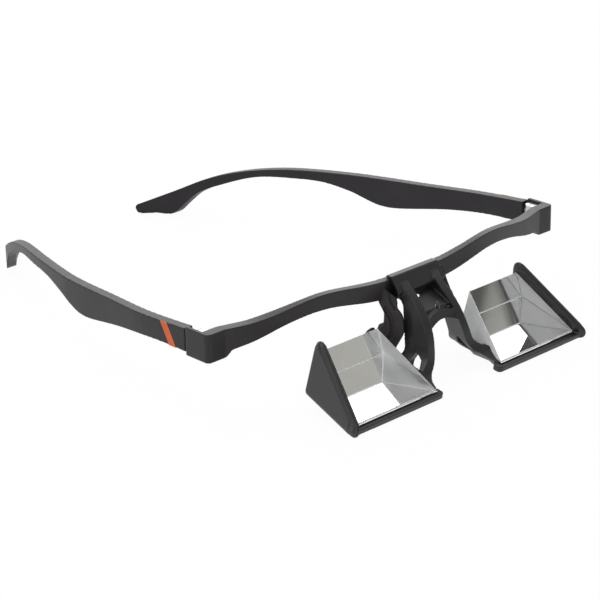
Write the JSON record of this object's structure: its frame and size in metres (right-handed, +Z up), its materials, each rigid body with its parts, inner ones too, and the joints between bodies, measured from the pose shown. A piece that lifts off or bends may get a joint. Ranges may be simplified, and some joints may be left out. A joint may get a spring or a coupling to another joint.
{
  "type": "belay glasses",
  "caption": "Brow-bar spectacle frame with folding temples and a clip-on holder carrying silvered wedge prisms that turn a level gaze upwards.",
  "frame": {"origin": "centre of the bounding box in plan, on the surface the glasses stand on", "axes": "+X to the wearer's left, +Y from the prisms back to the temple tips, +Z up"},
  "size_m": [0.145, 0.1841, 0.0316],
  "materials": {
    "frame_plastic": "matte charcoal, injection moulded",
    "pad_rubber": "soft matte black",
    "prism_glass": "polished optical faces, ground ends",
    "silvering": "silvered base",
    "bond": "cured adhesive",
    "stripe_plastic": "satin orange",
    "hinge_steel": "plain steel",
    "screw_steel": "bright steel"
  },
  "bodies": {
    "front": {"front_frame": "frame_plastic", "nose_pad_left": "pad_rubber", "nose_pad_right": "pad_rubber", "prism_holder": "frame_plastic", "prism_left": "prism_glass", "prism_right": "prism_glass", "mirror_coat_left": "silvering", "mirror_coat_right": "silvering", "prism_bond_left": "bond", "prism_bond_right": "bond", "hinge_front_leaf_left": "hinge_steel", "hinge_front_leaf_right": "hinge_steel", "hinge_screw_left": "screw_steel", "hinge_screw_right": "screw_steel"},
    "temple_arm_left": {"temple_left": "frame_plastic", "temple_stripe_left": "stripe_plastic", "hinge_temple_leaf_left": "hinge_steel"},
    "temple_arm_right": {"temple_right": "frame_plastic", "temple_stripe_right": "stripe_plastic", "hinge_temple_leaf_right": "hinge_steel"}
  },
  "joints": [
    {"name": "fold_left", "type": "hinge", "parent": "front", "child": "temple_arm_left", "pos_m": [0.0695, -0.05087, 0.0243], "axis": [0, 0, 1], "range_deg": [0, 80]},
    {"name": "fold_right", "type": "hinge", "parent": "front", "child": "temple_arm_right", "pos_m": [-0.0695, -0.05087, 0.0243], "axis": [0, 0, -1], "range_deg": [0, 75]}
  ]
}
